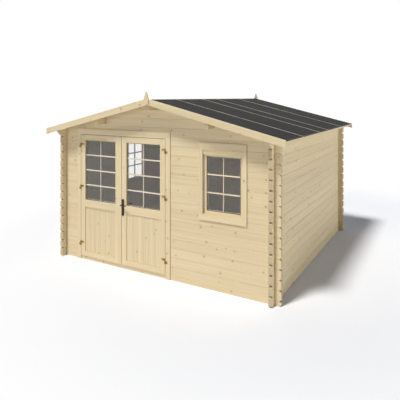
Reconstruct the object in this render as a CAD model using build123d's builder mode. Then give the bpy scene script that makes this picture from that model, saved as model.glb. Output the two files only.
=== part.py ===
from build123d import *
import os
from math import cos, radians, tan

os.makedirs("parts", exist_ok=True)

# Logs: machined softwood planks, tongue up and groove down, with a bevel on every long edge
# and the upper and lower corners of every end cut off, so that the ends stand scalloped
log_height = 125.0
log_thickness = 45.0
log_bevel = 3.0
log_seam = 0.3
tongue_height = 8.0
tongue_width = 14.0
groove_depth = 10.0
groove_width = 16.0
log_overhang = 85.0
notch_clearance = 0.3
notch_share = 0.5
top_notch_share = 0.25
scallop_reach = 32.0
scallop_rise = 18.0

# Walls: outer face to outer face
wall_width = 3490.0
wall_depth = 3450.0
side_courses = 16
sill_share = 0.5
front_courses = side_courses - 1
fit_gap = 0.2

# Roof
roof_angle = 13.57
eave_overhang = 187.0
verge_overhang = 165.0
deck_thickness = 18.0
felt_thickness = 3.0
roof_fit = 0.1
plate_rise = 8.0
barge_drop = 72.0
barge_thickness = 18.0
barge_lip = 12.0
fascia_thickness = 16.0
fascia_height = 26.0
finial_thickness = 20.0
finial_width = 72.0
finial_tip_width = 14.0
finial_waist_width = 36.0
finial_foot_width = 60.0
finial_rise = 87.0
finial_waist_share = 0.5
finial_drop = 76.0
purlin_thickness = 45.0
purlin_depth = 121.0
purlin_offset = 915.0
top_log_reach = 75.0
corbel_height = 75.0

# Floor
bearer_height = 30.0
bearer_width = 60.0
bearer_count = 5
bearer_inset = 120.0
floor_thickness = 18.0
floor_margin = 4.0

# Doorway, placed from the cabin's middle
door_left_edge = -1370.0
left_leaf_width = 789.5
right_leaf_width = 755.5
leaf_gap = 6.0
meeting_gap = 9.0
leaf_thickness = 45.0
face_proud = 15.0
jamb_thickness = 40.0
jamb_depth = 60.0
head_thickness = 23.0
threshold_cut = 20.0
threshold_thickness = 8.0
door_casing_width = 72.0
door_casing_head = 86.0
stile_width = 84.0
meeting_stile_width = 110.0
top_rail_height = 82.0
lock_rail_height = 111.0
bottom_rail_height = 72.0
leaf_glass_height = 912.0
panel_thickness = 22.0
glass_thickness = 4.0
leaf_glass_setback = 27.0

# Hinges and lock
hinge_radius = 8.0
hinge_pin_radius = 4.0
hinge_running_gap = 0.08
hinge_half_length = 33.0
hinge_seam = 1.0
hinge_standoff = 9.5
hinge_plate_thickness = 3.0
hinge_arm_length = 56.0
hinge_arm_height = 27.0
hinge_wing_length = 35.0
hinge_heights = (245.0, 1103.0, 1745.0)
lock_plate_width = 40.0
lock_plate_height = 240.0
lock_plate_thickness = 8.0
lock_plate_corner = 12.0
lock_inset = 23.0
lever_height = 926.0
lock_plate_drop = 38.0
lever_bar_radius = 8.0
lever_reach = 88.0
lever_standoff = 50.0
spindle_radius = 9.0
spindle_running_gap = 0.08
spindle_bore_radius = 14.0
bore_overrun = 5.0

# Windows: two alike, one in the front wall and one in the left wall
window_middle = 1052.5
window_width = 629.0
window_courses_below = 7
window_courses = 7
window_frame_side = 30.0
window_frame_head = 67.0
window_frame_sill = 37.5
window_frame_depth = 60.0
sash_width = 41.0
sash_rail = 31.0
sash_depth = 34.0
sash_setback = 26.0
casing_thickness = 15.0
casing_lap = 25.0
casing_head_height = 98.0
casing_head_drop = 12.5
casing_foot_height = 70.0
casing_foot_drop = 47.5

half_width = wall_width / 2
half_depth = wall_depth / 2
front_face = -half_depth
back_face = half_depth
inner_x = half_width - log_thickness
inner_y = half_depth - log_thickness
side_top = side_courses * log_height
sill_height = log_height * sill_share
front_top = sill_height + front_courses * log_height
roof_rise = tan(radians(roof_angle))
deck_upright = deck_thickness / cos(radians(roof_angle))
felt_upright = felt_thickness / cos(radians(roof_angle))
eave_edge = half_width + eave_overhang
verge_edge = half_depth + verge_overhang
long_reach = wall_width + wall_depth


def roof_under(x):
    return side_top + plate_rise + roof_fit + roof_rise * (half_width - abs(x))


def roof_top(x):
    return roof_under(x) + roof_fit + deck_upright + felt_upright


def block(x0, x1, y0, y1, z0, z1, mode=Mode.ADD):
    with Locations(((x0 + x1) / 2, (y0 + y1) / 2, (z0 + z1) / 2)):
        Box(x1 - x0, y1 - y0, z1 - z0, mode=mode)


def barrel(radius, x, y, z0, z1, mode=Mode.ADD):
    with Locations((x, y, (z0 + z1) / 2)):
        Cylinder(radius, z1 - z0, mode=mode)


def log_outline(middle, base, height, tongue=True, groove=True):
    half = log_thickness / 2
    top = base + height - log_seam
    left = [(-half, base + log_bevel), (-half, top - log_bevel), (-half + log_bevel, top)]
    ridge = []
    if tongue:
        ridge = [(-tongue_width / 2, top), (-tongue_width / 2, top + tongue_height),
                 (tongue_width / 2, top + tongue_height), (tongue_width / 2, top)]
    right = [(half - log_bevel, top), (half, top - log_bevel), (half, base + log_bevel),
             (half - log_bevel, base)]
    slot = []
    if groove:
        slot = [(groove_width / 2, base), (groove_width / 2, base + groove_depth),
                (-groove_width / 2, base + groove_depth), (-groove_width / 2, base)]
    foot = [(-half + log_bevel, base)]
    return [(middle + u, v) for u, v in left + ridge + right + slot + foot]


def top_log_outline(middle, base):
    half = log_thickness / 2
    points = [(-half, base + log_bevel), (-half, roof_under(middle - half) - roof_fit),
              (half, roof_under(middle + half) - roof_fit), (half, base + log_bevel),
              (half - log_bevel, base), (groove_width / 2, base),
              (groove_width / 2, base + groove_depth), (-groove_width / 2, base + groove_depth),
              (-groove_width / 2, base), (-half + log_bevel, base)]
    return [(middle + u, v) for u, v in points]


def front_bases():
    return [sill_height + k * log_height for k in range(front_courses)]


def gable_bases():
    count = 0
    bases = []
    while front_top + count * log_height < roof_under(0) - log_bevel:
        bases.append(front_top + count * log_height)
        count += 1
    return bases


def cross_logs(y_middle, x0, x1, bases):
    with BuildSketch(Plane.YZ.offset(x0)) as outline:
        for base in bases:
            Polygon(*log_outline(y_middle, base, log_height), align=None)
    extrude(outline.sketch, amount=x1 - x0)


def cut_notches(plane, middle, bases, depth, reach):
    half = log_thickness / 2 + notch_clearance
    with BuildSketch(plane) as outline:
        for base in bases:
            for side in (-1, 1):
                with Locations((side * middle, base - log_seam + (depth + log_seam) / 2)):
                    Rectangle(2 * half, depth + log_seam)
    extrude(outline.sketch, amount=reach, both=True, mode=Mode.SUBTRACT)


def cut_scallops(plane, end, joints):
    with BuildSketch(plane) as outline:
        for joint in joints:
            for side in (-1, 1):
                Polygon((side * (end - scallop_reach), joint), (side * end, joint - scallop_rise),
                        (side * (end + scallop_reach), joint), (side * end, joint + scallop_rise), align=None)
    extrude(outline.sketch, amount=log_thickness, both=True, mode=Mode.SUBTRACT)


def cut_cross_scallops(y_middle, joints):
    cut_scallops(Plane.XZ.offset(-y_middle), half_width + log_overhang, joints)


def cut_side_scallops(x_middle, joints):
    cut_scallops(Plane.YZ.offset(x_middle), half_depth + log_overhang, joints)


def cut_cross_notches(y_middle, bases, depth):
    cut_notches(Plane.XZ.offset(-y_middle), half_width - log_thickness / 2, bases, depth, log_thickness)


def cut_side_notches(x_middle, bases, depth):
    cut_notches(Plane.YZ.offset(x_middle), half_depth - log_thickness / 2, bases, depth, log_thickness)


notch_depth = log_height * notch_share + tongue_height + notch_clearance
top_notch_depth = log_height * top_notch_share
cross_reach = half_width + log_overhang
side_reach = half_depth + log_overhang
front_middle = front_face + log_thickness / 2
back_middle = back_face - log_thickness / 2

door_right_edge = door_left_edge + left_leaf_width + meeting_gap + right_leaf_width
opening_left = door_left_edge - leaf_gap - jamb_thickness - fit_gap
opening_right = door_right_edge + leaf_gap + jamb_thickness + fit_gap
window_base = sill_height + window_courses_below * log_height
window_top = window_base + window_courses * log_height
window_left = window_middle - window_width / 2
window_right = window_middle + window_width / 2
side_window_base = window_courses_below * log_height
side_window_top = side_window_base + window_courses * log_height
threshold_top = sill_height - threshold_cut + threshold_thickness
leaf_base = threshold_top + leaf_gap
leaf_top = front_top - head_thickness - leaf_gap

# Sill logs lie first; the front one is cut down where the threshold sits
with BuildPart() as sill_logs:
    for y_middle in (front_middle, back_middle):
        with BuildSketch(Plane.YZ.offset(-cross_reach)) as outline:
            Polygon(*log_outline(y_middle, 0, sill_height, groove=False), align=None)
        extrude(outline.sketch, amount=2 * cross_reach)
        cut_cross_scallops(y_middle, (0, sill_height))
    block(opening_left, opening_right, front_face - log_bevel, front_face + log_thickness + log_bevel,
          sill_height - threshold_cut, log_height, Mode.SUBTRACT)

with BuildPart() as front_left_logs:
    cross_logs(front_middle, -cross_reach, opening_left, front_bases())
    cut_cross_notches(front_middle, front_bases(), notch_depth)
    cut_cross_scallops(front_middle, front_bases() + [front_top])

with BuildPart() as front_right_logs:
    cross_logs(front_middle, opening_right, cross_reach, front_bases())
    cut_cross_notches(front_middle, front_bases(), notch_depth)
    cut_cross_scallops(front_middle, front_bases() + [front_top])
    block(window_left, window_right, front_face - log_bevel, front_face + log_thickness + log_bevel,
          window_base, window_top, Mode.SUBTRACT)


def purlin_outline(x_middle, clearance):
    half = purlin_thickness / 2 + clearance
    low = roof_under(abs(x_middle) + purlin_thickness / 2) - purlin_depth - clearance
    left_top = roof_under(x_middle - half) - roof_fit
    right_top = roof_under(x_middle + half) - roof_fit
    return [(x_middle - half, low), (x_middle + half, low), (x_middle + half, right_top),
            (x_middle - half, left_top)]


def gable(y_middle):
    cross_logs(y_middle, -cross_reach, cross_reach, gable_bases())
    cut_cross_notches(y_middle, gable_bases()[:1], top_notch_depth)
    cut_cross_scallops(y_middle, gable_bases()[:1])
    with BuildSketch(Plane.XZ.offset(-y_middle)) as outline:
        Polygon((-long_reach, roof_under(long_reach) - roof_fit), (0, roof_under(0) - roof_fit),
                (long_reach, roof_under(long_reach) - roof_fit), (long_reach, long_reach),
                (-long_reach, long_reach), align=None)
    extrude(outline.sketch, amount=log_thickness, both=True, mode=Mode.SUBTRACT)
    for x_middle in (-purlin_offset, 0, purlin_offset):
        points = purlin_outline(x_middle, notch_clearance)
        block(points[0][0], points[1][0], y_middle - log_thickness, y_middle + log_thickness,
              points[0][1], long_reach, Mode.SUBTRACT)


with BuildPart() as front_gable_logs:
    gable(front_middle)

with BuildPart() as back_wall_logs:
    cross_logs(back_middle, -cross_reach, cross_reach, front_bases())
    cut_cross_notches(back_middle, front_bases(), notch_depth)
    cut_cross_scallops(back_middle, front_bases() + [front_top])

with BuildPart() as back_gable_logs:
    gable(back_middle)


def side_wall(side):
    x_middle = side * (half_width - log_thickness / 2)
    bases = [k * log_height for k in range(side_courses)]
    with BuildSketch(Plane.XZ.offset(-side_reach)) as outline:
        for base in bases[:-1]:
            Polygon(*log_outline(x_middle, base, log_height, groove=base > 0), align=None)
    extrude(outline.sketch, amount=2 * side_reach)
    cut_side_scallops(x_middle, bases)
    with BuildSketch(Plane.XZ.offset(-side_reach - top_log_reach)) as outline:
        Polygon(*top_log_outline(x_middle, bases[-1]), align=None)
    extrude(outline.sketch, amount=2 * (side_reach + top_log_reach))
    with BuildSketch(Plane.YZ.offset(x_middle)) as outline:
        for face in (-1, 1):
            tip = face * (side_reach + 2 * top_log_reach)
            Polygon((face * side_reach, bases[-1]), (tip, bases[-1] + 2 * corbel_height), (tip, bases[-1]),
                    align=None)
    extrude(outline.sketch, amount=log_thickness, both=True, mode=Mode.SUBTRACT)
    cut_side_notches(x_middle, bases, notch_depth)
    cut_side_notches(x_middle, [side_top - top_notch_depth + log_seam], log_height)


with BuildPart() as left_wall_logs:
    side_wall(-1)
    block(-half_width - log_bevel, -inner_x + log_bevel, -window_width / 2, window_width / 2,
          side_window_base, side_window_top, Mode.SUBTRACT)

with BuildPart() as right_wall_logs:
    side_wall(1)

with BuildPart() as ridge_purlin:
    low = roof_under(purlin_thickness / 2) - purlin_depth
    block(-purlin_thickness / 2, purlin_thickness / 2, -verge_edge, verge_edge, low,
          roof_under(purlin_thickness / 2) - roof_fit)

with BuildPart() as side_purlins:
    with BuildSketch(Plane.XZ.offset(-verge_edge)) as outline:
        Polygon(*purlin_outline(-purlin_offset, 0), align=None)
        Polygon(*purlin_outline(purlin_offset, 0), align=None)
    extrude(outline.sketch, amount=2 * verge_edge)


def slope(side, low, high, near, far, y0, y1):
    with BuildSketch(Plane.XZ.offset(-y1)) as outline:
        Polygon((side * near, low(near)), (side * far, low(far)), (side * far, high(far)),
                (side * near, high(near)), align=None)
    extrude(outline.sketch, amount=y1 - y0)


def deck_top(x):
    return roof_under(x) + deck_upright


def felt_low(x):
    return deck_top(x) + roof_fit


def barge_low(x):
    return deck_top(x) - barge_drop


def barge_rim(x):
    return roof_top(x) + barge_lip


def fascia_low(x):
    return deck_top(x) - fascia_height


barge_end = eave_edge + roof_fit + fascia_thickness
barge_back = verge_edge + roof_fit
barge_face = barge_back + barge_thickness


with BuildPart() as left_roof_deck:
    slope(-1, roof_under, deck_top, roof_fit, eave_edge, -verge_edge, verge_edge)

with BuildPart() as right_roof_deck:
    slope(1, roof_under, deck_top, roof_fit, eave_edge, -verge_edge, verge_edge)

with BuildPart() as left_roof_felt:
    slope(-1, felt_low, roof_top, roof_fit, barge_end, -verge_edge, barge_face)

with BuildPart() as right_roof_felt:
    slope(1, felt_low, roof_top, roof_fit, barge_end, -verge_edge, barge_face)

# The front boards stand over the felt's edge; the felt laps over the rear ones
with BuildPart() as front_bargeboards:
    for side in (-1, 1):
        slope(side, barge_low, barge_rim, roof_fit, barge_end, -barge_face, -barge_back)

with BuildPart() as rear_bargeboards:
    for side in (-1, 1):
        slope(side, barge_low, deck_top, roof_fit, barge_end, barge_back, barge_face)

with BuildPart() as eave_fascias:
    for side in (-1, 1):
        slope(side, fascia_low, deck_top, eave_edge + roof_fit, barge_end, -verge_edge, verge_edge)

with BuildPart() as finials:
    for face in (-1, 1):
        apex = barge_rim(0)
        waist = apex + finial_rise * finial_waist_share
        with BuildSketch(Plane.XZ.offset(-face * (barge_face + roof_fit))) as outline:
            Polygon((-finial_foot_width / 2, apex - finial_drop), (finial_foot_width / 2, apex - finial_drop),
                    (finial_width / 2, apex), (finial_waist_width / 2, waist),
                    (finial_tip_width / 2, apex + finial_rise), (-finial_tip_width / 2, apex + finial_rise),
                    (-finial_waist_width / 2, waist), (-finial_width / 2, apex), align=None)
        extrude(outline.sketch, amount=-face * finial_thickness)

with BuildPart() as floor_bearers:
    span = 2 * (inner_x - bearer_inset) - bearer_width
    for k in range(bearer_count):
        x_middle = -span / 2 + k * span / (bearer_count - 1)
        block(x_middle - bearer_width / 2, x_middle + bearer_width / 2, -inner_y + fit_gap,
              inner_y - fit_gap, 0, bearer_height)

with BuildPart() as floor_boards:
    block(-inner_x + floor_margin, inner_x - floor_margin, -inner_y + floor_margin, inner_y - floor_margin,
          bearer_height + roof_fit, bearer_height + roof_fit + floor_thickness)

casing_face = front_face - face_proud
jamb_top = front_top - head_thickness

with BuildPart() as door_frame:
    for x0 in (opening_left + fit_gap, opening_right - fit_gap - jamb_thickness):
        block(x0, x0 + jamb_thickness, front_face + roof_fit, front_face + jamb_depth, threshold_top + fit_gap,
              front_top - fit_gap)
    block(opening_left + fit_gap + jamb_thickness + fit_gap, opening_right - fit_gap - jamb_thickness - fit_gap,
          front_face + roof_fit, front_face + jamb_depth, jamb_top, front_top - fit_gap)

with BuildPart() as door_casing:
    inner_left = door_left_edge - leaf_gap
    inner_right = door_right_edge + leaf_gap
    block(inner_left - door_casing_width, inner_left, casing_face, front_face, 0, jamb_top)
    block(inner_right, inner_right + door_casing_width, casing_face, front_face, 0, jamb_top)
    block(inner_left - door_casing_width, inner_right + door_casing_width, casing_face, front_face,
          jamb_top + fit_gap, jamb_top + fit_gap + door_casing_head)

with BuildPart() as door_threshold:
    block(opening_left + fit_gap, opening_right - fit_gap, front_face, front_face + log_thickness,
          sill_height - threshold_cut + roof_fit, threshold_top)

left_pin_x = door_left_edge - leaf_gap / 2
right_pin_x = door_right_edge + leaf_gap / 2
pin_y = casing_face - hinge_standoff

with BuildPart() as hinge_posts:
    for side, pin_x in ((-1, left_pin_x), (1, right_pin_x)):
        for height in hinge_heights:
            barrel(hinge_radius, pin_x, pin_y, height - hinge_half_length, height)
            barrel(hinge_pin_radius, pin_x, pin_y, height, height + hinge_half_length)
            wing = pin_x + side * hinge_wing_length
            block(min(pin_x, wing), max(pin_x, wing), casing_face - hinge_plate_thickness, casing_face,
                  height - hinge_half_length, height)
            block(pin_x - hinge_plate_thickness / 2, pin_x + hinge_plate_thickness / 2, pin_y, casing_face,
                  height - hinge_half_length, height)


def leaf_hinges(side, pin_x):
    for height in hinge_heights:
        low = height + hinge_seam
        high = height + hinge_half_length
        arm = pin_x - side * hinge_arm_length
        barrel(hinge_radius, pin_x, pin_y, low, high)
        block(min(pin_x, arm), max(pin_x, arm), casing_face - hinge_plate_thickness, casing_face,
              high - hinge_arm_height, high)
        edge = pin_x - side * leaf_gap / 2
        lip = edge - side * hinge_radius
        block(min(edge, lip), max(edge, lip), pin_y, casing_face, low, high)
        block(min(pin_x, lip), max(pin_x, lip), pin_y - hinge_plate_thickness / 2,
              pin_y + hinge_plate_thickness / 2, low, high)
        barrel(hinge_pin_radius + hinge_running_gap, pin_x, pin_y, low - hinge_seam, high + hinge_seam,
               Mode.SUBTRACT)


leaf_back = casing_face + leaf_thickness
glass_base = leaf_top - top_rail_height - leaf_glass_height
panel_base = leaf_base + bottom_rail_height
panel_top = glass_base - lock_rail_height
leaf_middle = (casing_face + leaf_back) / 2
glass_middle = casing_face + leaf_glass_setback + glass_thickness / 2


def leaf_stiles(x0, x1, left_width, right_width):
    block(x0, x0 + left_width, casing_face, leaf_back, leaf_base, leaf_top)
    block(x1 - right_width, x1, casing_face, leaf_back, leaf_base, leaf_top)


def leaf_rails(x0, x1):
    for z0, z1 in ((leaf_base, panel_base), (panel_top, glass_base), (leaf_top - top_rail_height, leaf_top)):
        block(x0 + fit_gap, x1 - fit_gap, casing_face, leaf_back, z0, z1)


def leaf_sheet(x0, x1, middle, thickness, z0, z1):
    block(x0 + fit_gap, x1 - fit_gap, middle - thickness / 2, middle + thickness / 2, z0 + fit_gap, z1 - fit_gap)


left_leaf_end = door_left_edge + left_leaf_width
right_leaf_start = door_right_edge - right_leaf_width
left_field = (door_left_edge + stile_width, left_leaf_end - meeting_stile_width)
right_field = (right_leaf_start + stile_width, door_right_edge - stile_width)
lock_x = right_leaf_start + lock_inset

with BuildPart() as left_door_stiles:
    leaf_stiles(door_left_edge, left_leaf_end, stile_width, meeting_stile_width)

with BuildPart() as left_door_rails:
    leaf_rails(*left_field)

with BuildPart() as left_door_panel:
    leaf_sheet(*left_field, leaf_middle, panel_thickness, panel_base, panel_top)

with BuildPart() as left_door_glass:
    leaf_sheet(*left_field, glass_middle, glass_thickness, glass_base, leaf_top - top_rail_height)

with BuildPart() as left_door_hinges:
    leaf_hinges(-1, left_pin_x)

with BuildPart() as right_door_stiles:
    leaf_stiles(right_leaf_start, door_right_edge, stile_width, stile_width)
    with Locations(Location((lock_x, leaf_middle, lever_height), (90, 0, 0))):
        Cylinder(spindle_bore_radius, leaf_thickness + bore_overrun, mode=Mode.SUBTRACT)

with BuildPart() as right_door_rails:
    leaf_rails(*right_field)

with BuildPart() as right_door_panel:
    leaf_sheet(*right_field, leaf_middle, panel_thickness, panel_base, panel_top)

with BuildPart() as right_door_glass:
    leaf_sheet(*right_field, glass_middle, glass_thickness, glass_base, leaf_top - top_rail_height)

with BuildPart() as right_door_hinges:
    leaf_hinges(1, right_pin_x)

with BuildPart() as lock_plates:
    for y_front in (casing_face, leaf_back + lock_plate_thickness):
        with BuildSketch(Plane.XZ.offset(-y_front)) as outline:
            with Locations((lock_x, lever_height - lock_plate_drop)):
                RectangleRounded(lock_plate_width, lock_plate_height, lock_plate_corner)
        extrude(outline.sketch, amount=lock_plate_thickness)
    with Locations(Location((lock_x, leaf_middle, lever_height), (90, 0, 0))):
        Cylinder(spindle_radius + spindle_running_gap, 2 * leaf_thickness, mode=Mode.SUBTRACT)

with BuildPart() as door_lever:
    outer_end = casing_face - lock_plate_thickness - lever_standoff
    inner_end = leaf_back + lock_plate_thickness + lever_standoff
    with Locations(Location((lock_x, (outer_end + inner_end) / 2, lever_height), (90, 0, 0))):
        Cylinder(spindle_radius, inner_end - outer_end)
    for y_bar in (outer_end + lever_bar_radius, inner_end - lever_bar_radius):
        with Locations(Location((lock_x + lever_reach / 2, y_bar, lever_height), (0, 90, 0))):
            Cylinder(lever_bar_radius, lever_reach)


def window_blocks(spans, depths, across):
    for (a0, a1), (z0, z1) in spans:
        if across:
            block(a0, a1, depths[0], depths[1], z0, z1)
        else:
            block(depths[0], depths[1], a0, a1, z0, z1)


def frame_spans(left, right, base, top):
    low = base + window_frame_sill
    high = top - window_frame_head
    return [((left + fit_gap, left + window_frame_side), (base + fit_gap, top - fit_gap)),
            ((right - window_frame_side, right - fit_gap), (base + fit_gap, top - fit_gap)),
            ((left + window_frame_side + fit_gap, right - window_frame_side - fit_gap), (base + fit_gap, low)),
            ((left + window_frame_side + fit_gap, right - window_frame_side - fit_gap), (high, top - fit_gap))]


def sash_spans(left, right, base, top):
    x0 = left + window_frame_side + fit_gap
    x1 = right - window_frame_side - fit_gap
    z0 = base + window_frame_sill + fit_gap
    z1 = top - window_frame_head - fit_gap
    return [((x0, x0 + sash_width), (z0, z1)), ((x1 - sash_width, x1), (z0, z1)),
            ((x0 + sash_width + fit_gap, x1 - sash_width - fit_gap), (z0, z0 + sash_rail)),
            ((x0 + sash_width + fit_gap, x1 - sash_width - fit_gap), (z1 - sash_rail, z1))]


def pane_spans(left, right, base, top):
    x0 = left + window_frame_side + 2 * fit_gap + sash_width
    x1 = right - window_frame_side - 2 * fit_gap - sash_width
    z0 = base + window_frame_sill + 2 * fit_gap + sash_rail
    z1 = top - window_frame_head - 2 * fit_gap - sash_rail
    return [((x0, x1), (z0, z1))]


def casing_spans(left, right, base, top):
    x0 = left - casing_lap
    x1 = right + casing_lap
    inner0 = left + window_frame_side
    inner1 = right - window_frame_side
    head = top - casing_head_drop
    foot = base - casing_foot_drop
    return [((x0, x1), (head, head + casing_head_height)), ((x0, x1), (foot, foot + casing_foot_height)),
            ((x0, inner0), (foot + casing_foot_height + fit_gap, head - fit_gap)),
            ((inner1, x1), (foot + casing_foot_height + fit_gap, head - fit_gap))]


front_hole = (window_left, window_right, window_base, window_top)
side_hole = (-window_width / 2, window_width / 2, side_window_base, side_window_top)
left_face = -half_width
sash_back = sash_setback + sash_depth
pane_front = sash_setback + (sash_depth - glass_thickness) / 2

with BuildPart() as front_window_frame:
    window_blocks(frame_spans(*front_hole), (front_face, front_face + window_frame_depth), True)

with BuildPart() as front_window_sash:
    window_blocks(sash_spans(*front_hole), (front_face + sash_setback, front_face + sash_back), True)

with BuildPart() as front_window_glass:
    window_blocks(pane_spans(*front_hole), (front_face + pane_front, front_face + pane_front + glass_thickness), True)

with BuildPart() as front_window_casing:
    window_blocks(casing_spans(*front_hole), (front_face - casing_thickness, front_face - roof_fit), True)

with BuildPart() as left_window_frame:
    window_blocks(frame_spans(*side_hole), (left_face, left_face + window_frame_depth), False)

with BuildPart() as left_window_sash:
    window_blocks(sash_spans(*side_hole), (left_face + sash_setback, left_face + sash_back), False)

with BuildPart() as left_window_glass:
    window_blocks(pane_spans(*side_hole), (left_face + pane_front, left_face + pane_front + glass_thickness), False)

with BuildPart() as left_window_casing:
    window_blocks(casing_spans(*side_hole), (left_face - casing_thickness, left_face - roof_fit), False)

nodes = {
    "sill_logs": sill_logs, "front_left_logs": front_left_logs, "front_right_logs": front_right_logs,
    "front_gable_logs": front_gable_logs, "back_wall_logs": back_wall_logs, "back_gable_logs": back_gable_logs,
    "left_wall_logs": left_wall_logs, "right_wall_logs": right_wall_logs, "ridge_purlin": ridge_purlin,
    "side_purlins": side_purlins, "left_roof_deck": left_roof_deck, "right_roof_deck": right_roof_deck,
    "left_roof_felt": left_roof_felt, "right_roof_felt": right_roof_felt,
    "front_bargeboards": front_bargeboards, "rear_bargeboards": rear_bargeboards, "eave_fascias": eave_fascias,
    "finials": finials, "floor_bearers": floor_bearers, "floor_boards": floor_boards, "door_frame": door_frame,
    "door_casing": door_casing, "door_threshold": door_threshold, "hinge_posts": hinge_posts,
    "left_door_stiles": left_door_stiles, "left_door_rails": left_door_rails, "left_door_panel": left_door_panel,
    "left_door_glass": left_door_glass, "left_door_hinges": left_door_hinges,
    "right_door_stiles": right_door_stiles, "right_door_rails": right_door_rails,
    "right_door_panel": right_door_panel, "right_door_glass": right_door_glass,
    "right_door_hinges": right_door_hinges, "lock_plates": lock_plates, "door_lever": door_lever,
    "front_window_frame": front_window_frame, "front_window_sash": front_window_sash,
    "front_window_glass": front_window_glass, "front_window_casing": front_window_casing,
    "left_window_frame": left_window_frame, "left_window_sash": left_window_sash,
    "left_window_glass": left_window_glass, "left_window_casing": left_window_casing,
}
for name, node in nodes.items():
    node.part.label = name
    export_step(node.part, f"parts/{name}.step")
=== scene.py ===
import math

import bmesh
import bpy
from mathutils import Matrix, Vector


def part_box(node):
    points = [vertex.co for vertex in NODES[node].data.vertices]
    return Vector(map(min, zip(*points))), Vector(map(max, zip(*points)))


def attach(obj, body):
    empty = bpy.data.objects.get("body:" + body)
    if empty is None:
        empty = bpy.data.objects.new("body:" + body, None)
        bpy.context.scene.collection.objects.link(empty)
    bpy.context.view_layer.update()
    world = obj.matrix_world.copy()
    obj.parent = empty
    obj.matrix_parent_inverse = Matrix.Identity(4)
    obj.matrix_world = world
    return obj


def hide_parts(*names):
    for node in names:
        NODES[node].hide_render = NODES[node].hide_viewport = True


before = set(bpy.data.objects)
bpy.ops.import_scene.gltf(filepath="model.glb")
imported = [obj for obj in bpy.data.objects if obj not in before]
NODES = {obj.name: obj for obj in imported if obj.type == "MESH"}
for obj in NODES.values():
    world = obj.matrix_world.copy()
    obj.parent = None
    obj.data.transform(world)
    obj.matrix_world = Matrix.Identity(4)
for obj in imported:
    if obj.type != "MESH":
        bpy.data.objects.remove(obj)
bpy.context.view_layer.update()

# Directions out of the front and out of the left wall
OUT_FRONT = Vector((0.0, -1.0, 0.0))
OUT_LEFT = Vector((-1.0, 0.0, 0.0))

# Sizes in metres that the materials and the added pieces follow
LOG_PITCH = 0.125
SILL_HEIGHT = 0.0625
ROOF_SLOPE = math.tan(math.radians(13.57))

# A small step from one face to the next, and the fine gap between pieces that touch
FACE_STEP = 0.002
CONTACT = 0.0002

# Boards
DECK_PITCH = 0.090
DECK_BEVEL = 0.003
FLOOR_PITCH = 0.113
FLOOR_BEVEL = 0.002
PLANK_COUNT = 6
PLANK_BEVEL = 0.0018

# Bars, beads and seals of the glazing, and its panes across and up
DOOR_PANES = (2, 4)
WINDOW_PANES = (2, 3)
BAR_WIDTH = 0.018
BAR_SLIM = 0.015
BAR_DEPTH = 0.011
BAR_BEVEL = 0.003
BEAD_WIDTH = 0.012
BEAD_BEVEL = 0.0025
SEAL_WIDTH = 0.007
SEAL_DEPTH = 0.003
SEAL_BEVEL = 0.0008

# Felt laps, by their place from front to rear, and clout nails
SEAM_PLACES = (-1.195, -0.401, 0.092, 0.991)
SEAM_WIDTH = 0.022
SEAM_RISE = 0.0022
CLOUT_PITCH = 0.095
CLOUT_INSET = 0.020
CLOUT_RADIUS = 0.0045
CLOUT_RISE = 0.0016

# Screws and nails: heads are low cones
HEAD_SIDES = 14
HEAD_TAPER_SHARE = 0.62
SCREW_RISE = 0.0014
HINGE_PLATE = 0.003
HINGE_SCREW_RADIUS = 0.0045
HINGE_SCREW_INSETS = (0.011, 0.031)
HINGE_SCREW_DROP = 0.0135
POST_SCREW_INSET = 0.010
POST_SCREW_RISES = (0.009, 0.024)
LOCK_SCREW_RADIUS = 0.0042
LOCK_SCREW_INSET = 0.012
NAIL_PITCH = 0.45
NAIL_INSET = 0.03
NAIL_RADIUS = 0.0026
NAIL_RISE = 0.0006

# Key cylinders: a round plug with a straight tail below it
KEY_HEIGHT_SHARE = 0.40
KEY_RADIUS = 0.0085
KEY_RISE = 0.003
TAIL_WIDTH = 0.010
TAIL_TOP = 0.006
TAIL_FOOT = 0.0225
TAIL_RISE = 0.0025
TAIL_BEVEL = 0.001


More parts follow.
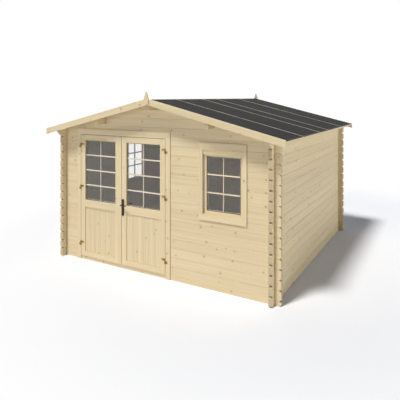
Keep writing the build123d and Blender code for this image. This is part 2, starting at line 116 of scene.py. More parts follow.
# Materials
class Net:
    """Adds nodes and links to one node tree."""

    def __init__(self, tree):
        self.tree = tree

    def node(self, kind, **props):
        made = self.tree.nodes.new(kind)
        for key, value in props.items():
            setattr(made, key, value)
        return made

    def link(self, output, socket):
        self.tree.links.new(output, socket)

    def feed(self, socket, value):
        """Sets a number or a colour on a socket, or links an output to it."""
        if isinstance(value, (int, float)):
            socket.default_value = value
        elif isinstance(value, tuple):
            socket.default_value = (*value, 1.0) if len(value) == 3 else value
        else:
            self.link(value, socket)

    def math(self, operation, a, b=None, c=None):
        made = self.node("ShaderNodeMath", operation=operation)
        for socket, value in zip(made.inputs, (a, b, c)):
            if value is not None:
                self.feed(socket, value)
        return made.outputs[0]

    def add(self, a, b):
        return self.math("ADD", a, b)

    def mul(self, a, b):
        return self.math("MULTIPLY", a, b)

    def wave(self, angle):
        """A sine between 0 and 1."""
        return self.math("MULTIPLY_ADD", self.math("SINE", angle), 0.5, 0.5)

    def weighted(self, *terms):
        """The sum of some values, each times its share."""
        parts = [self.mul(value, share) for value, share in terms]
        total = parts[0]
        for part in parts[1:]:
            total = self.add(total, part)
        return total

    def vec(self, x, y, z):
        made = self.node("ShaderNodeCombineXYZ")
        for socket, value in zip(made.inputs, (x, y, z)):
            self.feed(socket, value)
        return made.outputs[0]

    def split(self, vector):
        made = self.node("ShaderNodeSeparateXYZ")
        self.link(vector, made.inputs[0])
        return made.outputs[0], made.outputs[1], made.outputs[2]

    def place(self):
        return self.node("ShaderNodeTexCoord").outputs["Object"]

    def noise(self, vector, scale=1.0, detail=2.0, rough=0.5):
        made = self.node("ShaderNodeTexNoise", noise_dimensions="3D")
        self.link(vector, made.inputs["Vector"])
        made.inputs["Scale"].default_value = scale
        made.inputs["Detail"].default_value = detail
        made.inputs["Roughness"].default_value = rough
        return made.outputs["Fac"]

    def chance(self, value):
        made = self.node("ShaderNodeTexWhiteNoise", noise_dimensions="1D")
        self.feed(made.inputs["W"], value)
        return made.outputs["Value"]

    def ramp(self, factor, stops):
        made = self.node("ShaderNodeValToRGB")
        elements = made.color_ramp.elements
        while len(elements) < len(stops):
            elements.new(0.5)
        for element, (position, colour) in zip(elements, stops):
            element.position = position
            element.color = (*colour, 1.0)
        self.feed(made.inputs["Fac"], factor)
        return made.outputs["Color"]

    def span(self, value, low, high, out_low=0.0, out_high=1.0, smooth=True):
        kind = "SMOOTHSTEP" if smooth else "LINEAR"
        made = self.node("ShaderNodeMapRange", interpolation_type=kind)
        self.feed(made.inputs["Value"], value)
        made.inputs["From Min"].default_value = low
        made.inputs["From Max"].default_value = high
        made.inputs["To Min"].default_value = out_low
        made.inputs["To Max"].default_value = out_high
        return made.outputs["Result"]

    def mix(self, factor, a, b, blend="MIX"):
        made = self.node("ShaderNodeMix", data_type="RGBA", blend_type=blend)
        self.feed(made.inputs["Factor"], factor)
        self.feed(made.inputs[6], a)
        self.feed(made.inputs[7], b)
        return made.outputs[2]

    def scaled(self, colour, value):
        """A colour times one number."""
        return self.mix(1.0, colour, self.vec(value, value, value), "MULTIPLY")

    def bump(self, height, strength, distance):
        made = self.node("ShaderNodeBump")
        made.inputs["Strength"].default_value = strength
        made.inputs["Distance"].default_value = distance
        self.link(height, made.inputs["Height"])
        return made.outputs["Normal"]


def new_material(name):
    mat = bpy.data.materials.new(name)
    mat.use_nodes = True
    tree = mat.node_tree
    tree.nodes.clear()
    out = tree.nodes.new("ShaderNodeOutputMaterial")
    shader = tree.nodes.new("ShaderNodeBsdfPrincipled")
    tree.links.new(shader.outputs["BSDF"], out.inputs["Surface"])
    return mat, Net(tree), shader


def toned(colour, tone):
    return tuple(c * tone for c in colour)


# Planed spruce, linear colours
PALE = (0.775, 0.664, 0.452)
LATE = (0.655, 0.527, 0.322)
KNOT = (0.330, 0.195, 0.090)
END = (0.590, 0.480, 0.310)
REDDER = (1.05, 0.97, 0.88)

# Each noise of the grain: its scale per metre along and across, its detail and its roughness
WANDER = (0.6, 2.0, 2.0, 0.5)
FIBRE = (4.0, 300.0, 3.0, 0.6)
STREAK = (0.8, 60.0, 3.0, 0.55)
BROAD = (0.7, 14.0, 2.0, 0.5)
RING_TURN_U = 260.0
RING_TURN_V = 520.0
RING_WANDER = 34.0
RING_SHARE = 0.22
STREAK_SHARE = 0.50
FIBRE_SHARE = 0.22
BROAD_SHARE = 0.25
LATE_SPAN = (0.38, 0.85)

# What one log or board draws by chance
FIRST_INDEX = 40.0
SECOND_DRAW = 100.5
GRAIN_SHIFT = 37.0
LOG_VALUES = (0.965, 1.03)
REDDER_SHARE = 0.22

# Knots: cells per metre that may hold one, and reaches in knot sizes
KNOT_CELLS = 5.6
KNOT_SCATTER = 0.9
KNOT_STRETCH = 0.8
KNOT_SIZES = (0.034, 0.090)
CORE_REACH = (0.35, 1.20)
HALO_REACH = (0.9, 2.8)
CORE_SHARE = 0.60
HALO_SHARE = 0.35

# Ends: the heart of the log lies beside the face, a little elsewhere on each log
END_FACING = (0.25, 0.42)
HEART_PERIOD_U = 0.37
HEART_PERIOD_V = 0.21
HEART_DRIFT_U = 0.05
HEART_DRIFT_V = 0.2
HEART_LEAST_V = 0.02
YEAR_TURN = 1400.0
YEAR_SHARE = 0.6
YEAR_TONE = 0.78

# Surface: roughness follows the grain, and the bump sinks at the knots
WOOD_ROUGH_SPAN = (0.3, 0.9)
WOOD_ROUGHNESS = (0.60, 0.76)
FIBRE_BUMP_SHARE = 0.35
GRAIN_BUMP_SHARE = 0.4
KNOT_BUMP_SHARE = -0.3
WOOD_BUMP = (0.20, 0.0012)
WOOD_SPECULAR = 0.25


def wood_grain(net, a, u, v, shift):
    """How dark the grain is, from 0 to about 1, and its finest fibre. a runs along it, u and v across."""

    def stretched_noise(along_scale, across_scale, detail, rough):
        along = net.add(net.mul(a, along_scale), shift)
        place = net.vec(along, net.mul(u, across_scale), net.mul(v, across_scale))
        return net.noise(place, detail=detail, rough=rough)

    fibre = stretched_noise(*FIBRE)
    turn = net.weighted((v, RING_TURN_V), (u, RING_TURN_U), (stretched_noise(*WANDER), RING_WANDER))
    grain = net.weighted((net.wave(turn), RING_SHARE), (stretched_noise(*STREAK), STREAK_SHARE),
                         (fibre, FIBRE_SHARE), (stretched_noise(*BROAD), BROAD_SHARE))
    return grain, fibre


def wood_knots(net, a, u, v, shift, share):
    """The dark core and the halo of the knots. share is the part of the cells that hold one."""
    cells = net.node("ShaderNodeTexVoronoi", voronoi_dimensions="2D", feature="F1")
    cells.inputs["Scale"].default_value = KNOT_CELLS
    cells.inputs["Randomness"].default_value = KNOT_SCATTER
    place = net.vec(net.add(net.mul(a, KNOT_STRETCH), shift), net.add(u, v), 0.0)
    net.link(place, cells.inputs["Vector"])
    draw = net.node("ShaderNodeSeparateColor")
    net.link(cells.outputs["Color"], draw.inputs[0])
    present = net.math("LESS_THAN", draw.outputs[0], share)
    size = net.span(draw.outputs[1], 0.0, 1.0, *KNOT_SIZES, smooth=False)
    near = net.math("DIVIDE", cells.outputs["Distance"], size)
    core = net.mul(net.span(near, *CORE_REACH, 1.0, 0.0), present)
    halo = net.mul(net.span(near, *HALO_REACH, 1.0, 0.0), present)
    return core, halo


def wood_end(net, along, u, v, first, second, tone):
    """Which faces lie across the grain, and the colour of the year rings there."""
    geometry = net.node("ShaderNodeNewGeometry")
    turn = net.node("ShaderNodeVectorTransform", vector_type="NORMAL", convert_from="WORLD",
                    convert_to="OBJECT")
    net.link(geometry.outputs["True Normal"], turn.inputs[0])
    facing = dict(zip("xyz", net.split(turn.outputs[0])))[along]
    is_end = net.span(net.math("ABSOLUTE", facing), *END_FACING)
    heart_u = net.math("PINGPONG", net.add(u, net.mul(first, HEART_DRIFT_U)), HEART_PERIOD_U)
    heart_v = net.math("PINGPONG", net.add(v, net.mul(second, HEART_DRIFT_V)), HEART_PERIOD_V)
    heart_v = net.add(heart_v, HEART_LEAST_V)
    radius = net.math("SQRT", net.add(net.mul(heart_u, heart_u), net.mul(heart_v, heart_v)))
    year = net.wave(net.mul(radius, YEAR_TURN))
    rings = net.mix(net.mul(year, YEAR_SHARE), toned(END, tone), toned(END, tone * YEAR_TONE))
    return is_end, rings


def wood(name, along, piece=None, seed=0.0, tone=1.0, knots=0.60, sloped=False, tint=None):
    """Planed spruce with its grain along one axis.

    piece gives the axis, pitch and start that tell one log or board from the next. sloped lets the grain
    follow the roof's slope. tint is a stain over the whole.
    """
    mat, net, shader = new_material(name)
    x, y, z = net.split(net.place())
    if sloped:
        z = net.add(z, net.mul(net.math("ABSOLUTE", x), ROOF_SLOPE))
    axes = {"x": x, "y": y, "z": z}
    a = axes[along]
    u, v = [axes[key] for key in "xyz" if key != along]
    index = FIRST_INDEX + seed
    if piece:
        axis, pitch, start = piece
        steps = net.math("DIVIDE", net.math("SUBTRACT", axes[axis], start), pitch)
        index = net.add(net.math("FLOOR", steps), index)
    first = net.chance(index)
    second = net.chance(net.add(index, SECOND_DRAW))
    shift = net.mul(first, GRAIN_SHIFT)
    grain, fibre = wood_grain(net, a, u, v, shift)
    colour = net.mix(net.span(grain, *LATE_SPAN), toned(PALE, tone), toned(LATE, tone))
    # one log or board is a little lighter, darker or redder than the next
    colour = net.scaled(colour, net.span(first, 0.0, 1.0, *LOG_VALUES, smooth=False))
    redder = net.mix(1.0, colour, REDDER, "MULTIPLY")
    colour = net.mix(net.mul(second, REDDER_SHARE), colour, redder)
    core, halo = wood_knots(net, a, u, v, shift, knots)
    colour = net.mix(net.mul(halo, HALO_SHARE), colour, toned(LATE, tone))
    colour = net.mix(net.mul(core, CORE_SHARE), colour, toned(KNOT, tone))
    is_end, rings = wood_end(net, along, u, v, first, second, tone)
    colour = net.mix(is_end, colour, rings)
    if tint:
        colour = net.mix(1.0, colour, tint, "MULTIPLY")
    net.link(colour, shader.inputs["Base Color"])
    roughness = net.span(grain, *WOOD_ROUGH_SPAN, *WOOD_ROUGHNESS, smooth=False)
    net.link(roughness, shader.inputs["Roughness"])
    height = net.weighted((fibre, FIBRE_BUMP_SHARE), (grain, GRAIN_BUMP_SHARE), (core, KNOT_BUMP_SHARE))
    net.link(net.bump(height, *WOOD_BUMP), shader.inputs["Normal"])
    shader.inputs["Specular IOR Level"].default_value = WOOD_SPECULAR
    return mat


# Mineral roofing felt: greys of the grit, and the shades that patches and smears give it
GRIT_SCALE = 900.0
PATCH_SCALE = 2.2
SMEAR_SCALE_X = 0.9
SMEAR_SCALE_Y = 9.0
GRIT_GREYS = ((0.30, 0.025), (0.55, 0.043), (0.80, 0.088))
PATCH_SHARE = 0.35
SMEAR_SHARE = 0.40
SHADE_SPAN = (0.22, 0.52)
FELT_SHADES = (0.80, 1.22)
GRIT_SPAN = (0.2, 0.8)
FELT_ROUGHNESS = (0.82, 0.95)
FELT_BUMP = (0.35, 0.001)
FELT_SPECULAR = 0.1


def felt(name, tint):
    """Mineral roofing felt. tint scales the grey of its grit."""
    mat, net, shader = new_material(name)
    place = net.place()
    x, y, z = net.split(place)
    grit = net.noise(place, scale=GRIT_SCALE, detail=2.0, rough=0.7)
    patch = net.noise(place, scale=PATCH_SCALE, detail=4.0, rough=0.6)
    smear = net.noise(net.vec(net.mul(x, SMEAR_SCALE_X), net.mul(y, SMEAR_SCALE_Y), z), detail=3.0)
    colour = net.ramp(grit, [(stop, toned(tint, grey)) for stop, grey in GRIT_GREYS])
    shade = net.weighted((patch, PATCH_SHARE), (smear, SMEAR_SHARE))
    colour = net.scaled(colour, net.span(shade, *SHADE_SPAN, *FELT_SHADES, smooth=False))
    net.link(colour, shader.inputs["Base Color"])
    roughness = net.span(grit, *GRIT_SPAN, *FELT_ROUGHNESS, smooth=False)
    net.link(roughness, shader.inputs["Roughness"])
    net.link(net.bump(grit, *FELT_BUMP), shader.inputs["Normal"])
    shader.inputs["Specular IOR Level"].default_value = FELT_SPECULAR
    return mat


# Metal and rubber: clouds of wear and fine specks
CLOUD_SCALE = 45.0
SPECK_SCALE = 420.0
WORN_SPAN = (0.35, 0.7)
CLOUD_SHARE = 0.6
SPECK_SHARE = 0.4
WEAR_SPAN = (0.3, 0.7)
WEAR_ROUGHNESS = 0.16
METAL_BUMP = (0.08, 0.0005)


def metal(name, clean, worn, rough, metallic=1.0):
    mat, net, shader = new_material(name)
    place = net.place()
    cloud = net.noise(place, scale=CLOUD_SCALE, detail=4.0, rough=0.6)
    speck = net.noise(place, scale=SPECK_SCALE, detail=2.0, rough=0.6)
    net.link(net.mix(net.span(cloud, *WORN_SPAN), clean, worn), shader.inputs["Base Color"])
    wear = net.weighted((cloud, CLOUD_SHARE), (speck, SPECK_SHARE))
    roughness = net.span(wear, *WEAR_SPAN, rough, rough + WEAR_ROUGHNESS, smooth=False)
    net.link(roughness, shader.inputs["Roughness"])
    net.link(net.bump(speck, *METAL_BUMP), shader.inputs["Normal"])
    shader.inputs["Metallic"].default_value = metallic
    return mat


# Window glass with a faint film
FILM_SCALE = 5.0
FILM_COLOURS = ((0.2, (0.990, 0.994, 0.992)), (0.8, (0.998, 1.0, 0.999)))
FILM_SPAN = (0.2, 0.8)
FILM_ROUGHNESS = (0.0, 0.02)
GLASS_TRANSMISSION = 0.98
GLASS_IOR = 1.5


def glass(name):
    mat, net, shader = new_material(name)
    film = net.noise(net.place(), scale=FILM_SCALE, detail=3.0, rough=0.55)
    net.link(net.ramp(film, FILM_COLOURS), shader.inputs["Base Color"])
    roughness = net.span(film, *FILM_SPAN, *FILM_ROUGHNESS, smooth=False)
    net.link(roughness, shader.inputs["Roughness"])
    shader.inputs["Transmission Weight"].default_value = GLASS_TRANSMISSION
    shader.inputs["IOR"].default_value = GLASS_IOR
    return mat


LOG_X = wood("log_timber_x", "x", ("z", LOG_PITCH, SILL_HEIGHT), seed=1.0)
LOG_Y = wood("log_timber_y", "y", ("z", LOG_PITCH, 0.0), seed=61.0)
DECK = wood("deck_timber", "x", ("y", DECK_PITCH, 0.0), seed=200.0, tone=0.97, sloped=True)
FLOOR = wood("floor_timber", "x", ("y", FLOOR_PITCH, 0.0), seed=300.0, tone=0.96)
BARGE = wood("barge_timber", "x", seed=9.0, knots=0.75, sloped=True)
JOINERY_TONES = (1.0, 1.015, 1.03)
JOINERY = {axis: [wood(f"joinery_timber_{axis}{k}", axis, seed=500.0 + 31.0 * k, knots=0.30, tone=tone)
                  for k, tone in enumerate(JOINERY_TONES)] for axis in "xyz"}
DOOR_BAR = wood("door_bar_timber", "x", seed=620.0, knots=0.0, tint=(1.0, 1.10, 1.40))
WINDOW_BAR = wood("window_bar_timber", "x", seed=640.0, knots=0.0, tint=(1.0, 1.04, 1.14))
FELT = felt("roof_felt", (0.325, 0.320, 0.306))
SEAM = felt("felt_seam", (11.5, 10.6, 8.8))
BRASS = metal("hinge_brass", (0.38, 0.25, 0.08), (0.25, 0.16, 0.05), 0.36)
DARK = metal("dark_handle", (0.026, 0.017, 0.011), (0.040, 0.027, 0.018), 0.44, metallic=0.35)
ALU = metal("threshold_metal", (0.72, 0.61, 0.42), (0.62, 0.51, 0.34), 0.42, metallic=0.5)
STEEL = metal("zinc_steel", (0.52, 0.52, 0.50), (0.36, 0.36, 0.35), 0.40)
SEAL = metal("pane_seal", (0.060, 0.050, 0.042), (0.045, 0.038, 0.032), 0.60, metallic=0.0)
GLASS = glass("pane_glass")

NODE_MATERIALS = {
    LOG_X: ("sill_logs", "front_left_logs", "front_right_logs", "front_gable_logs", "back_wall_logs",
            "back_gable_logs"),
    LOG_Y: ("left_wall_logs", "right_wall_logs"),
    DECK: ("left_roof_deck", "right_roof_deck"),
    FLOOR: ("floor_boards",),
    BARGE: ("front_bargeboards", "rear_bargeboards"),
    FELT: ("left_roof_felt", "right_roof_felt"),
    BRASS: ("hinge_posts", "left_door_hinges", "right_door_hinges"),
    DARK: ("lock_plates", "door_lever"),
    ALU: ("door_threshold",),
    GLASS: ("left_door_glass", "right_door_glass", "front_window_glass", "left_window_glass"),
}
for mat, names in NODE_MATERIALS.items():
    for name in names:
        NODES[name].data.materials.clear()
        NODES[name].data.materials.append(mat)

# The other nodes take the joinery's wood
JOINERY_ENDINGS = ("_stiles", "_rails", "_frame", "_sash", "_casing", "_panel", "_purlin", "_purlins",
                   "_fascias", "finials", "_bearers")

# Corners that agree to so many digits are one place
PLACE_DIGITS = 5


def pieces_of(node):
    """The separate solids of one CAD node: lists of faces, with the box of each."""
    mesh = NODES[node].data
    keys = [tuple(round(c, PLACE_DIGITS) for c in vert.co) for vert in mesh.vertices]
    parent = {key: key for key in keys}

    def root(key):
        while parent[key] != key:
            parent[key] = parent[parent[key]]
            key = parent[key]
        return key

    for face in mesh.polygons:
        for vert in face.vertices[1:]:
            parent[root(keys[vert])] = root(keys[face.vertices[0]])
    groups = {}
    for face in mesh.polygons:
        groups.setdefault(root(keys[face.vertices[0]]), []).append(face)
    found = []
    for faces in groups.values():
        places = [keys[vert] for face in faces for vert in face.vertices]
        low = Vector([min(p[i] for p in places) for i in range(3)])
        high = Vector([max(p[i] for p in places) for i in range(3)])
        found.append((faces, low, high))
    return sorted(found, key=lambda item: tuple(item[1]))


def longest_axis(size):
    return max(range(3), key=lambda i: size[i])


# The grain of every piece of joinery runs along that piece
joinery_nodes = [name for name in NODES if name.endswith(JOINERY_ENDINGS)]
for order, name in enumerate(joinery_nodes):
    mesh = NODES[name].data
    mesh.materials.clear()
    slots = {}
    for number, (faces, low, high) in enumerate(pieces_of(name)):
        variants = JOINERY["xyz"[longest_axis(high - low)]]
        mat = variants[(number + order) % len(variants)]
        if mat not in slots:
            slots[mat] = len(slots)
            mesh.materials.append(mat)
        for face in faces:
            face.material_index = slots[mat]


# Pieces
def add_piece(name, bm, mat, body):
    mesh = bpy.data.meshes.new(name)
    bm.normal_update()
    bm.to_mesh(mesh)
    bm.free()
    mesh.materials.append(mat)
    piece = bpy.data.objects.new(name, mesh)
    bpy.context.collection.objects.link(piece)
    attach(piece, body)
    return piece


def add_block(bm, low, high, bevel=0.0, lean=None):
    """A bevelled board between two corners. lean gives the rise that is added at each x."""
    made = bmesh.ops.create_cube(bm, size=1.0)["verts"]
    middle = (Vector(low) + Vector(high)) / 2
    size = Vector(high) - Vector(low)
    for vert in made:
        vert.co = Vector([middle[i] + vert.co[i] * size[i] for i in range(3)])
    if bevel > 0:
        edges = list({edge for vert in made for edge in vert.link_edges})
        made = bmesh.ops.bevel(bm, geom=edges, offset=bevel, segments=1, affect="EDGES")["verts"]
    if lean:
        for vert in made:
            vert.co.z += lean(vert.co.x)


def add_head(bm, centre, radius, height, out):
    """A low round head, such as a screw's or a nail's, that stands out along one direction."""
    turn = out.to_track_quat("Z", "Y").to_matrix().to_4x4()
    place = Matrix.Translation(Vector(centre) + out * height / 2) @ turn
    bmesh.ops.create_cone(bm, cap_ends=True, segments=HEAD_SIDES, radius1=radius,
                          radius2=radius * HEAD_TAPER_SHARE, depth=height, matrix=place)


def glazing(name, sheet, holder, axis, panes, body, bar_wood):
    """Bars on both faces of one sheet of glass, dark seals round it outside, and beads on its inner face."""
    low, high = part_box(sheet)
    columns, rows = panes
    inner_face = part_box(holder)[1]
    across, deep = (0, 1) if axis == "y" else (1, 0)
    a0, a1, z0, z1 = low[across], high[across], low[2], high[2]
    bars = bmesh.new()
    beads = bmesh.new()
    seals = bmesh.new()

    def strip(bm, a_span, z_span, d_span, bevel):
        corners = [[0, 0, z] for z in z_span]
        for corner, a, d in zip(corners, a_span, d_span):
            corner[across] = a
            corner[deep] = d
        add_block(bm, *corners, bevel)

    def surround(bm, width, d_span, bevel):
        for a_span in ((a0, a0 + width), (a1 - width, a1)):
            strip(bm, a_span, (z0, z1), d_span, bevel)
        for z_span in ((z0, z0 + width), (z1 - width, z1)):
            strip(bm, (a0 + width, a1 - width), z_span, d_span, bevel)

    glass_front = low[deep] - CONTACT
    glass_back = high[deep] + CONTACT
    surround(beads, BEAD_WIDTH, (glass_back, inner_face[deep] - FACE_STEP), BEAD_BEVEL)
    surround(seals, SEAL_WIDTH, (glass_front - SEAL_DEPTH, glass_front), SEAL_BEVEL)
    for side, glass_face, margin in ((-1, glass_front, SEAL_WIDTH), (1, glass_back, BEAD_WIDTH)):
        upright_span = sorted((glass_face, glass_face + side * BAR_DEPTH))
        level_span = sorted((glass_face, glass_face + side * (BAR_DEPTH - FACE_STEP / 2)))
        for c in range(1, columns):
            middle = a0 + (a1 - a0) * c / columns
            a_span = (middle - BAR_SLIM / 2, middle + BAR_SLIM / 2)
            strip(bars, a_span, (z0 + margin, z1 - margin), upright_span, BAR_BEVEL)
        for r in range(1, rows):
            middle = z0 + (z1 - z0) * r / rows
            z_span = (middle - BAR_WIDTH / 2, middle + BAR_WIDTH / 2)
            strip(bars, (a0 + margin, a1 - margin), z_span, level_span, BAR_BEVEL)
    bead_wood = JOINERY["xy"[across]][1]
    add_piece(f"{name}_bars", bars, bar_wood, body)
    add_piece(f"{name}_beads", beads, bead_wood, body)
    add_piece(f"{name}_seals", seals, SEAL, body)


for side in ("left", "right"):
    door = f"{side}_door"
    glazing(door, f"{door}_glass", f"{door}_stiles", "y", DOOR_PANES, door, DOOR_BAR)
for side, axis in (("front", "y"), ("left", "x")):
    window = f"{side}_window"
    glazing(window, f"{window}_glass", f"{window}_sash", axis, WINDOW_PANES, "cabin", WINDOW_BAR)


def board_spans(low, high, count):
    """The two edges of each of some boards that lie side by side between two places."""
    pitch = (high - low) / count
    return [(low + k * pitch + CONTACT, low + (k + 1) * pitch - CONTACT) for k in range(count)]


def slope_from(eave):
    """The rise of a roof face over its eave, at each x."""
    return lambda x: ROOF_SLOPE * (eave - abs(x))


# Door panels of upright tongue-and-groove planks
for order, side in enumerate(("left", "right")):
    low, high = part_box(f"{side}_door_panel")
    pitch = (high.x - low.x) / PLANK_COUNT
    plank_wood = wood(f"{side}_plank_timber", "z", ("x", pitch, low.x), seed=400.0 + 20.0 * order, knots=0.65)
    bm = bmesh.new()
    for x0, x1 in board_spans(low.x, high.x, PLANK_COUNT):
        add_block(bm, (x0, low.y, low.z), (x1, high.y, high.z), PLANK_BEVEL)
    planks = add_piece(f"{side}_door_planks", bm, plank_wood, f"{side}_door")
    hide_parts(f"{side}_door_panel")

# Roof boards from ridge to eave
for side in ("left", "right"):
    low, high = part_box(f"{side}_roof_deck")
    outer = max(abs(low.x), abs(high.x))
    inner = min(abs(low.x), abs(high.x))
    thick = high.z - low.z - ROOF_SLOPE * (outer - inner)
    bm = bmesh.new()
    for y0, y1 in board_spans(low.y, high.y, round((high.y - low.y) / DECK_PITCH)):
        add_block(bm, (low.x, y0, low.z), (high.x, y1, low.z + thick), DECK_BEVEL, slope_from(outer))
    boards = add_piece(f"{side}_roof_boards", bm, DECK, "cabin")
    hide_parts(f"{side}_roof_deck")

# Floor boards
low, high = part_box("floor_boards")
bm = bmesh.new()
for y0, y1 in board_spans(low.y, high.y, round((high.y - low.y) / FLOOR_PITCH)):
    add_block(bm, (low.x, y0, low.z), (high.x, y1, high.z), FLOOR_BEVEL)
boards = add_piece("floor_planks", bm, FLOOR, "cabin")
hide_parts("floor_boards")

# Felt laps, and clout nails along the eave and both verges
for side, sign in (("left", -1), ("right", 1)):
    low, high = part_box(f"{side}_roof_felt")
    outer = max(abs(low.x), abs(high.x))
    thick = high.z - low.z - ROOF_SLOPE * outer
    top = low.z + thick
    rise = slope_from(outer)
    laps = bmesh.new()
    x0, x1 = sorted((sign * CONTACT, sign * (outer - FACE_STEP)))
    for place in SEAM_PLACES:
        y0, y1 = place - SEAM_WIDTH / 2, place + SEAM_WIDTH / 2
        add_block(laps, (x0, y0, top), (x1, y1, top + SEAM_RISE), lean=rise)
    add_piece(f"{side}_felt_laps", laps, SEAM, "cabin")
    nails = bmesh.new()
    slope_out = Vector((sign * ROOF_SLOPE, 0.0, 1.0)).normalized()
    eave_x = sign * (outer - CLOUT_INSET)
    eave_count = round((high.y - low.y) / CLOUT_PITCH)
    verge_count = round(outer / CLOUT_PITCH)
    places = [(eave_x, low.y + (k + 0.5) * (high.y - low.y) / eave_count) for k in range(eave_count)]
    places += [(sign * (k + 0.5) * outer / verge_count, y) for k in range(verge_count)
               for y in (low.y + CLOUT_INSET, high.y - CLOUT_INSET)]
    for x, y in places:
        add_head(nails, (x, y, top + rise(x)), CLOUT_RADIUS, CLOUT_RISE, slope_out)
    add_piece(f"{side}_felt_nails", nails, STEEL, "cabin")

# Screws of the hinges
leaf_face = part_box("left_door_stiles")[0].y
screw_y = leaf_face - HINGE_PLATE
door_middle = (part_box("left_door_stiles")[1].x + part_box("right_door_stiles")[0].x) / 2
for side, sign in (("left", -1), ("right", 1)):
    bm = bmesh.new()
    for _, low, high in pieces_of(f"{side}_door_hinges"):
        tip = high.x if sign < 0 else low.x
        for inset in HINGE_SCREW_INSETS:
            place = (tip + sign * inset, screw_y, high.z - HINGE_SCREW_DROP)
            add_head(bm, place, HINGE_SCREW_RADIUS, SCREW_RISE, OUT_FRONT)
    add_piece(f"{side}_hinge_screws", bm, BRASS, f"{side}_door")
bm = bmesh.new()
for _, low, high in pieces_of("hinge_posts"):
    on_left = low.x < door_middle
    screw_x = low.x + POST_SCREW_INSET if on_left else high.x - POST_SCREW_INSET
    for rise in POST_SCREW_RISES:
        add_head(bm, (screw_x, screw_y, low.z + rise), HINGE_SCREW_RADIUS, SCREW_RISE, OUT_FRONT)
add_piece("hinge_post_screws", bm, BRASS, "cabin")

# Screws and key cylinders of the lock plates
bm = bmesh.new()
keys = bmesh.new()
tails = []
for _, low, high in pieces_of("lock_plates"):
    outside = low.y < leaf_face
    out = OUT_FRONT if outside else -OUT_FRONT
    face = low.y if outside else high.y
    middle = (low.x + high.x) / 2
    for z in (low.z + LOCK_SCREW_INSET, high.z - LOCK_SCREW_INSET):
        add_head(bm, (middle, face, z), LOCK_SCREW_RADIUS, SCREW_RISE, out)
    key_z = low.z + KEY_HEIGHT_SHARE * (high.z - low.z)
    add_head(keys, (middle, face, key_z), KEY_RADIUS, KEY_RISE, out)
    y0, y1 = sorted((face, face + out.y * TAIL_RISE))
    tails.append(((middle - TAIL_WIDTH / 2, y0, key_z - TAIL_FOOT),
                  (middle + TAIL_WIDTH / 2, y1, key_z - TAIL_TOP)))
# the tails come last, because a bevel leaves no fixed order to the corners of heads added after it
for low, high in tails:
    add_block(keys, low, high, TAIL_BEVEL)
add_piece("lock_screws", bm, DARK, "right_door")
add_piece("lock_cylinders", keys, DARK, "right_door")

# Nails of the casings
for node, out in (("door_casing", OUT_FRONT), ("front_window_casing", OUT_FRONT),
                  ("left_window_casing", OUT_LEFT)):
    bm = bmesh.new()
    for _, low, high in pieces_of(node):
        size = high - low
        long_axis = longest_axis(size)
        count = max(2, round(size[long_axis] / NAIL_PITCH))
        for k in range(count):
            place = (low + high) / 2
            run = size[long_axis] - 2 * NAIL_INSET
            place[long_axis] = low[long_axis] + NAIL_INSET + k * run / (count - 1)
            if out.x:
                place.x = low.x
            else:
                place.y = low.y
            add_head(bm, place, NAIL_RADIUS, NAIL_RISE, out)
    add_piece(f"{node}_nails", bm, STEEL, "cabin")


# Stage, light and camera
FLOOR_REACH = 60.0
FLOOR_COLOUR = (0.872, 0.887, 0.912, 1.0)
FLOOR_ROUGHNESS = 0.9
FLOOR_FADE = (3.1, 5.6)
SHADOW_MIDDLE = (0.8, 0.8, 0.0)
SHADOW_TINT = (0.0, 0.22, 1.0, 1.0)
SHADOW_TINT_STRENGTH = 0.040

# Where each lamp's light goes, its strength, its angle in degrees and its colour
LAMPS = {
    "sun": ((0.177, 0.475, -1.0), 2.98, 11.0, (1.0, 0.985, 0.96)),
    "side_fill": ((-1.0, -0.12, -0.03), 1.72, 28.0, (0.95, 0.98, 1.0)),
    "front_fill": ((0.35, 1.0, -0.012), 0.80, 32.0, (1.0, 0.99, 0.97)),
    "back_fill": ((0.8, -1.0, -0.22), 1.40, 60.0, (1.0, 0.985, 0.96)),
}
DIM_COLOUR = (0.93, 0.96, 1.0, 1.0)
DIM_STRENGTH = 0.03
WHITE = (1.0, 1.0, 1.0, 1.0)

IMAGE_SIZE = 400.0
FOCAL_PIXELS = 441.6
HORIZON_ROW = 96.6
SENSOR_WIDTH = 36.0
VIEW_REACH = 200.0
VIEWER_PLACE = (3.5855, -6.7338, 2.4901)
VIEWER_TURN = 29.73


def background_rays(net):
    """One for the rays that show the background: those of the camera, of glass and of metal."""
    path = net.node("ShaderNodeLightPath")
    seen = net.math("MAXIMUM", path.outputs["Is Camera Ray"], path.outputs["Is Transmission Ray"])
    return net.math("MAXIMUM", seen, path.outputs["Is Glossy Ray"])


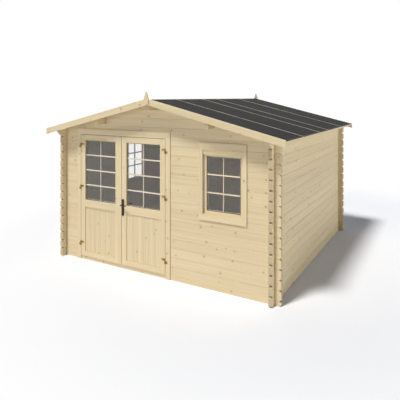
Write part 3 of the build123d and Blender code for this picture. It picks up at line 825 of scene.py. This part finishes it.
def add_floor():
    """A pale floor that goes over into the white background away from the cabin."""
    bm = bmesh.new()
    bmesh.ops.create_grid(bm, x_segments=1, y_segments=1, size=FLOOR_REACH)
    mesh = bpy.data.meshes.new("floor")
    bm.to_mesh(mesh)
    bm.free()
    floor = bpy.data.objects.new("floor", mesh)
    bpy.context.collection.objects.link(floor)
    mat, net, shader = new_material("studio_floor")
    shader.inputs["Base Color"].default_value = FLOOR_COLOUR
    shader.inputs["Roughness"].default_value = FLOOR_ROUGHNESS
    shader.inputs["Specular IOR Level"].default_value = 0.0
    seen = background_rays(net)
    # a trace of blue evens out the warm light that the walls throw on the shadow
    shader.inputs["Emission Color"].default_value = SHADOW_TINT
    net.link(net.mul(seen, SHADOW_TINT_STRENGTH), shader.inputs["Emission Strength"])
    distance = net.node("ShaderNodeVectorMath", operation="DISTANCE")
    net.link(net.place(), distance.inputs[0])
    distance.inputs[1].default_value = SHADOW_MIDDLE
    far = net.mul(net.span(distance.outputs["Value"], *FLOOR_FADE), seen)
    white = net.node("ShaderNodeEmission")
    fade = net.node("ShaderNodeMixShader")
    net.link(far, fade.inputs[0])
    net.link(shader.outputs[0], fade.inputs[1])
    net.link(white.outputs[0], fade.inputs[2])
    net.link(fade.outputs[0], mat.node_tree.nodes["Material Output"].inputs["Surface"])
    mesh.materials.append(mat)


def add_sun(name, towards, strength, angle, colour):
    light = bpy.data.lights.new(name, "SUN")
    light.energy = strength
    light.angle = math.radians(angle)
    light.color = colour
    lamp = bpy.data.objects.new(name, light)
    bpy.context.collection.objects.link(lamp)
    lamp.rotation_euler = Vector(towards).to_track_quat("-Z", "Y").to_euler()


def add_world():
    """Dim light from all round, and white where the background shows."""
    world = bpy.data.worlds.new("studio")
    bpy.context.scene.world = world
    world.use_nodes = True
    world.node_tree.nodes.clear()
    net = Net(world.node_tree)
    blend = net.node("ShaderNodeMixShader")
    net.link(background_rays(net), blend.inputs[0])
    for socket, colour, strength in ((1, DIM_COLOUR, DIM_STRENGTH), (2, WHITE, 1.0)):
        sky = net.node("ShaderNodeBackground")
        sky.inputs["Color"].default_value = colour
        sky.inputs["Strength"].default_value = strength
        net.link(sky.outputs[0], blend.inputs[socket])
    net.link(blend.outputs[0], net.node("ShaderNodeOutputWorld").inputs["Surface"])


def add_camera():
    """A level camera at the photograph's place, shifted so that the horizon lies on its row."""
    camera = bpy.data.cameras.new("camera")
    camera.sensor_width = SENSOR_WIDTH
    camera.lens = FOCAL_PIXELS / IMAGE_SIZE * SENSOR_WIDTH
    camera.shift_y = -(IMAGE_SIZE / 2 - HORIZON_ROW) / IMAGE_SIZE
    camera.clip_end = VIEW_REACH
    viewer = bpy.data.objects.new("camera", camera)
    bpy.context.collection.objects.link(viewer)
    viewer.location = VIEWER_PLACE
    viewer.rotation_euler = (math.radians(90.0), 0.0, math.radians(VIEWER_TURN))
    bpy.context.scene.camera = viewer


add_floor()
for name, (towards, strength, angle, colour) in LAMPS.items():
    add_sun(name, towards, strength, angle, colour)
add_world()
add_camera()
bpy.context.scene.view_settings.view_transform = "Standard"
